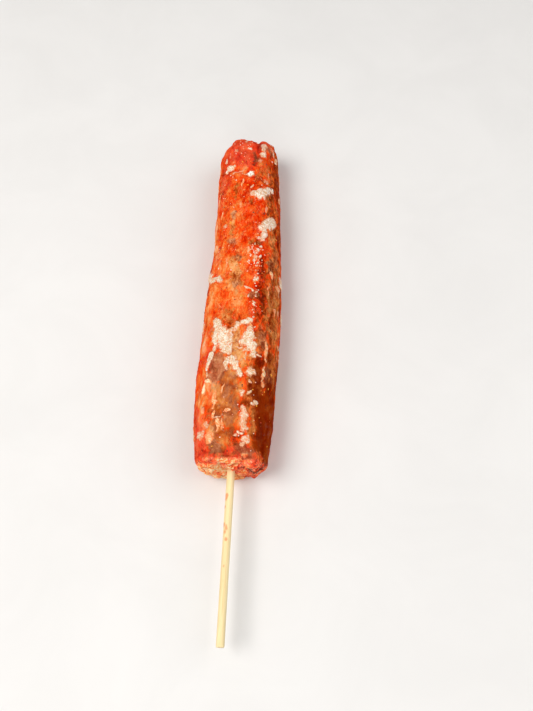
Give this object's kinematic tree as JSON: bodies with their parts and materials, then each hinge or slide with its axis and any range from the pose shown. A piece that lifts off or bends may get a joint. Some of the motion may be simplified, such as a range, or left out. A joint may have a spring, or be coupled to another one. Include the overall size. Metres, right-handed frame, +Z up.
{
  "type": "kofta skewer",
  "caption": "Raw kofta skewer: a tapered, rounded-square rod of spiced minced meat pressed round one end of a thin round bamboo stick.",
  "frame": {"origin": "centre of the skewer's box, on the plane that the meat's underside rests on", "axes": "+Y along the stick from its bare end to the meat's far end, +Z up, +X to the right seen from the bare end"},
  "size_m": [0.0326, 0.215, 0.0248],
  "materials": {
    "spiced_mince": "satin",
    "bamboo": "matte"
  },
  "bodies": {
    "root": {"meat": "spiced_mince", "stick": "bamboo"}
  },
  "joints": []
}
